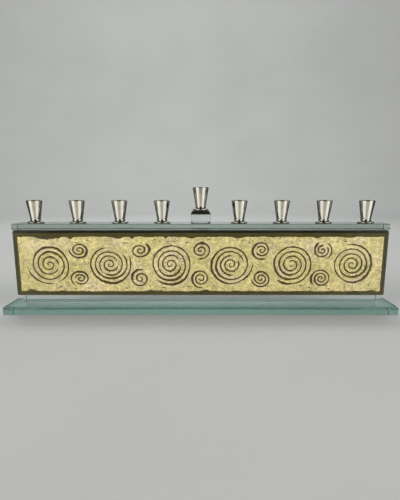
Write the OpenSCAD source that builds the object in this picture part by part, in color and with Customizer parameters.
// Glass menorah: a long glass base, an upright glass spine, a glass shelf on top of the spine,
// a fused art-glass panel bonded to the spine's front, eight metal candle cups on the shelf and
// a ninth, the shamash, raised at the middle on a block of clear glass.
// Millimetres, +X to the viewer's right, +Y to the back, +Z up, origin under the middle of the base.

/* [Base] */
// Length of the base plate
base_length = 381; // [365:1:420]
// Depth of the base plate from front to back
base_depth = 34; // [32:0.5:60]
// Thickness of the base glass
base_thickness = 8; // [6:0.5:12]
// Radius of the polished edges of the base
base_edge_radius = 1.2; // [0.5:0.1:2.5]
// Radius of the base's four upright corners
base_corner_radius = 0.8; // [0.5:0.1:5]

/* [Spine] */
// Length of the upright glass between base and shelf
spine_length = 349.5; // [330:0.5:354]
// Thickness of the upright glass
spine_thickness = 9.5; // [8:0.5:12]
// Height of the upright glass
spine_height = 73.2; // [65:0.1:90]
// Radius of the arrises along the upright glass
spine_edge_radius = 0.6; // [0.3:0.1:1.5]

/* [Shelf] */
// Length of the shelf that carries the cups
shelf_length = 355.6; // [350:0.1:362]
// Depth of the shelf from front to back
shelf_depth = 24; // [20:0.5:30]
// Thickness of the shelf glass
shelf_thickness = 6; // [4:0.5:8]
// Radius of the polished edges of the shelf
shelf_edge_radius = 1.0; // [0.5:0.1:1.8]

/* [Panel] */
// Length of the fused panel
panel_length = 355.6; // [350:0.1:362]
// Height of the fused panel
panel_height = 63.1; // [50:0.1:64]
// Thickness of each of the panel's two sheets
panel_sheet = 3; // [2:0.1:3.2]
// Gap between the top of the panel and the shelf
panel_top_gap = 0.2; // [0.2:0.1:1.2]
// Radius of the fused edges of the panel
panel_edge_radius = 1.3; // [0.5:0.1:1.8]
// Radius of the panel's four corners
panel_corner_radius = 2.2; // [1:0.1:4]
// Thickness of the gold leaf between the sheets
leaf_thickness = 0.12; // [0.1:0.01:0.3]
// Width of the dark border at the panel's ends and foot
leaf_margin = 3.6; // [3:0.1:6]
// Width of the dark border at the panel's top
leaf_top_margin = 6.4; // [3:0.1:8]

/* [Candle cups] */
// Height of a candle cup
cup_height = 21.4; // [20:0.1:28]
// Outer diameter of the cup's rim
cup_rim_diameter = 15.8; // [14.8:0.1:17]
// Outer diameter of the cup's waist, above its foot
cup_waist_diameter = 10; // [9.6:0.1:11]
// Diameter of the cup's foot
cup_foot_diameter = 16.2; // [15.5:0.1:18]
// Thickness of the rounded edge of the foot
cup_flange = 1.2; // [0.8:0.1:1.6]
// Radius of the flare between waist and foot
cup_flare_radius = 2.2; // [1.5:0.1:2.4]
// Thickness of the rounded rim
cup_lip = 1.4; // [0.6:0.1:1.6]
// Diameter of the hole that holds the candle
candle_bore = 9; // [8:0.1:9.2]
// Depth of the hole below the rim
candle_bore_depth = 14; // [10:0.5:14]
// Depth of the funnel at the top of the hole
candle_funnel = 2.3; // [1:0.1:3]
// Distance from the middle of the shelf to the nearest cup on each side
first_cup_x = 37; // [30:0.5:40]
// Spacing of the cups along each side
cup_pitch = 40.5; // [30:0.5:41]

/* [Shamash block] */
// Width and depth of the block
block_width = 18.6; // [17:0.1:22]
// Height of the block
block_height = 12.1; // [9:0.1:20]
// Radius of the block's fire-polished top edges
block_top_radius = 3.8; // [1.5:0.1:4]
// Radius of the block's lower edges
block_foot_radius = 1.2; // [0.5:0.1:1.4]
// Radius of the block's four upright corners
block_corner_radius = 3; // [1:0.1:4]

/* [Adhesive] */
// Thickness of the clear adhesive between two sheets of glass
sheet_bond = 0.15; // [0.1:0.05:0.3]
// Thickness of the adhesive behind the panel
panel_bond_thickness = 0.25; // [0.15:0.05:0.4]
// Thickness of the adhesive under each cup and the block
foot_bond = 0.15; // [0.1:0.05:0.3]

/* [Hidden] */
$fn = 96;
margin = 1;
cups_per_side = 4;

spine_z = base_thickness + sheet_bond;
shelf_bond_z = spine_z + spine_height;
shelf_z = shelf_bond_z + sheet_bond;
shelf_top_z = shelf_z + shelf_thickness;
cup_z = shelf_top_z + foot_bond;
shamash_bond_z = cup_z + block_height;
shamash_z = shamash_bond_z + foot_bond;

panel_back_y = -spine_thickness / 2 - panel_bond_thickness;
panel_seam_y = panel_back_y - panel_sheet;
panel_front_y = panel_seam_y - panel_sheet;
panel_top_z = shelf_z - panel_top_gap;
panel_bottom_z = panel_top_z - panel_height;
leaf_length = panel_length - 2 * leaf_margin;
leaf_height = panel_height - leaf_margin - leaf_top_margin;
leaf_bottom_z = panel_bottom_z + leaf_margin;

panel_bond_inset = 6;
panel_bond_length = spine_length - 2 * panel_bond_inset;
panel_bond_height = panel_height - 2 * panel_bond_inset;
panel_bond_z = panel_bottom_z + panel_bond_inset;
foot_bond_radius = cup_foot_diameter / 2 - 1;
block_bond_radius = block_width / 2 - 2;

cup_waist_z = cup_flange + cup_flare_radius;
cup_lip_radius = cup_lip / 2;

// Distance of a cup from the middle, for cups 1 to 8 counted from the left
function cup_x(i) =
    i <= cups_per_side
        ? -first_cup_x - (cups_per_side - i) * cup_pitch
        : first_cup_x + (i - cups_per_side - 1) * cup_pitch;

// A centred rectangle with round corners, its upper pair with a radius of their own
module rounded_rectangle(width, height, radius, upper_radius) {
    difference() {
        square([width, height], center = true);
        for (side = [-1, 1]) {
            corner_waste(side * width / 2, -height / 2, side, -1, radius);
            corner_waste(side * width / 2, height / 2, side, 1, upper_radius);
        }
    }
}

// What a round corner leaves out of a square one; sx and sy point outwards
module corner_waste(x, y, sx, sy, radius) {
    translate([x - sx * radius, y - sy * radius])
        difference() {
            translate([sx > 0 ? 0 : -radius - margin, sy > 0 ? 0 : -radius - margin])
                square(radius + margin);
            circle(radius);
        }
}

// A glass slab that stands on z = 0 with all of its edges rounded
module slab(length, depth, height, edge, upper_edge, corner) {
    intersection() {
        translate([0, 0, -margin])
            linear_extrude(height + 2 * margin)
                rounded_rectangle(length, depth, corner, corner);
        translate([0, 0, height / 2])
            rotate([90, 0, 0])
                linear_extrude(depth + 2 * margin, center = true)
                    rounded_rectangle(length, height, edge, upper_edge);
        translate([0, 0, height / 2])
            rotate([90, 0, 90])
                linear_extrude(length + 2 * margin, center = true)
                    rounded_rectangle(depth, height, edge, upper_edge);
    }
}

// A thin flat block from its lowest corner, centred along X
module plate(length, depth, height) {
    translate([-length / 2, 0, 0])
        cube([length, depth, height]);
}

module base_plate() {
    color("#8fb3a8", 0.6)
        slab(base_length, base_depth, base_thickness,
            base_edge_radius, base_edge_radius, base_corner_radius);
}

module base_adhesive() {
    color("#e6ebea", 0.5)
        translate([0, -spine_thickness / 2 + spine_edge_radius, base_thickness])
            plate(spine_length - 2 * spine_edge_radius,
                spine_thickness - 2 * spine_edge_radius, sheet_bond);
}

module spine() {
    color("#b5c9c4", 0.6)
        translate([0, 0, spine_z])
            slab(spine_length, spine_thickness, spine_height,
                spine_edge_radius, spine_edge_radius, spine_edge_radius);
}

module shelf_adhesive() {
    color("#e6ebea", 0.5)
        translate([0, -spine_thickness / 2 + spine_edge_radius, shelf_bond_z])
            plate(spine_length - 2 * spine_edge_radius,
                spine_thickness - 2 * spine_edge_radius, sheet_bond);
}

module shelf() {
    color("#94aba4", 0.6)
        translate([0, 0, shelf_z])
            slab(shelf_length, shelf_depth, shelf_thickness,
                shelf_edge_radius, shelf_edge_radius, shelf_edge_radius);
}

module panel_adhesive() {
    color("#e6ebea", 0.5)
        translate([0, panel_back_y, panel_bond_z])
            plate(panel_bond_length, panel_bond_thickness, panel_bond_height);
}

// The outer form of the two fused sheets
module panel_form() {
    translate([0, panel_seam_y, panel_bottom_z])
        intersection() {
            rotate([90, 0, 0])
                linear_extrude(2 * panel_sheet + 2 * margin, center = true)
                    translate([0, panel_height / 2])
                        rounded_rectangle(panel_length, panel_height,
                            panel_corner_radius, panel_corner_radius);
            translate([0, 0, -margin])
                linear_extrude(panel_height + 2 * margin)
                    rounded_rectangle(panel_length, 2 * panel_sheet,
                        panel_edge_radius, panel_edge_radius);
            translate([0, 0, panel_height / 2])
                rotate([90, 0, 90])
                    linear_extrude(panel_length + 2 * margin, center = true)
                        rounded_rectangle(2 * panel_sheet, panel_height,
                            panel_edge_radius, panel_edge_radius);
        }
}

module panel_back_sheet() {
    color("#3a3a24")
        intersection() {
            panel_form();
            translate([0, panel_seam_y, panel_bottom_z - margin])
                plate(panel_length + 2 * margin, panel_sheet + margin, panel_height + 2 * margin);
        }
}

module gold_leaf() {
    color("#dcc98c")
        translate([0, panel_seam_y - leaf_thickness, leaf_bottom_z])
            plate(leaf_length, leaf_thickness, leaf_height);
}

module panel_cover_sheet() {
    color("#a8a078", 0.35)
        difference() {
            intersection() {
                panel_form();
                translate([0, panel_front_y - margin, panel_bottom_z - margin])
                    plate(panel_length + 2 * margin, panel_sheet + margin,
                        panel_height + 2 * margin);
            }
            translate([0, panel_seam_y - leaf_thickness, leaf_bottom_z])
                plate(leaf_length, leaf_thickness + margin, leaf_height);
        }
}

module block_adhesive() {
    color("#e6ebea", 0.5)
        translate([0, 0, shelf_top_z])
            cylinder(h = foot_bond, r = block_bond_radius);
}

module shamash_block() {
    color("#c9d2d1", 0.6)
        translate([0, 0, cup_z])
            slab(block_width, block_width, block_height,
                block_foot_radius, block_top_radius, block_corner_radius);
}

// One thin disc of adhesive under each of the nine cups
module cup_adhesive() {
    color("#e6ebea", 0.5) {
        for (i = [1 : 2 * cups_per_side])
            translate([cup_x(i), 0, shelf_top_z])
                cylinder(h = foot_bond, r = foot_bond_radius);
        translate([0, 0, shamash_bond_z])
            cylinder(h = foot_bond, r = block_width / 2 - block_top_radius);
    }
}

// Half section of the cup's metal, to be turned about Z
module cup_section() {
    rim = cup_rim_diameter / 2;
    waist = cup_waist_diameter / 2;
    foot = cup_foot_diameter / 2;
    edge = cup_flange / 2;
    difference() {
        union() {
            square([foot - edge, cup_flange]);
            translate([foot - edge, edge])
                circle(edge);
            difference() {
                translate([0, cup_flange])
                    square([waist + cup_flare_radius, cup_flare_radius]);
                translate([waist + cup_flare_radius, cup_waist_z])
                    circle(cup_flare_radius);
            }
            polygon([
                [0, cup_waist_z],
                [waist, cup_waist_z],
                [rim, cup_height - cup_lip_radius],
                [rim - cup_lip_radius, cup_height - cup_lip_radius],
                [rim - cup_lip_radius, cup_height],
                [0, cup_height]
            ]);
            translate([rim - cup_lip_radius, cup_height - cup_lip_radius])
                circle(cup_lip_radius);
        }
        translate([-margin, cup_height - candle_bore_depth])
            square([candle_bore / 2 + margin, candle_bore_depth + margin]);
        polygon([
            [0, cup_height - candle_funnel],
            [candle_bore / 2, cup_height - candle_funnel],
            [rim - cup_lip_radius * 2, cup_height],
            [rim - cup_lip_radius * 2, cup_height + margin],
            [0, cup_height + margin]
        ]);
        translate([-foot, -margin])
            square([foot, cup_height + 2 * margin]);
    }
}

module cup() {
    rotate_extrude()
        cup_section();
}

module candle_cup(i) {
    color("silver")
        translate([cup_x(i), 0, cup_z])
            cup();
}

module shamash_cup() {
    color("silver")
        translate([0, 0, shamash_z])
            cup();
}

base_plate();
base_adhesive();
spine();
shelf_adhesive();
shelf();
panel_adhesive();
panel_back_sheet();
gold_leaf();
panel_cover_sheet();
block_adhesive();
shamash_block();
cup_adhesive();
candle_cup(1);  // candle_cup_1
candle_cup(2);  // candle_cup_2
candle_cup(3);  // candle_cup_3
candle_cup(4);  // candle_cup_4
candle_cup(5);  // candle_cup_5
candle_cup(6);  // candle_cup_6
candle_cup(7);  // candle_cup_7
candle_cup(8);  // candle_cup_8
shamash_cup();
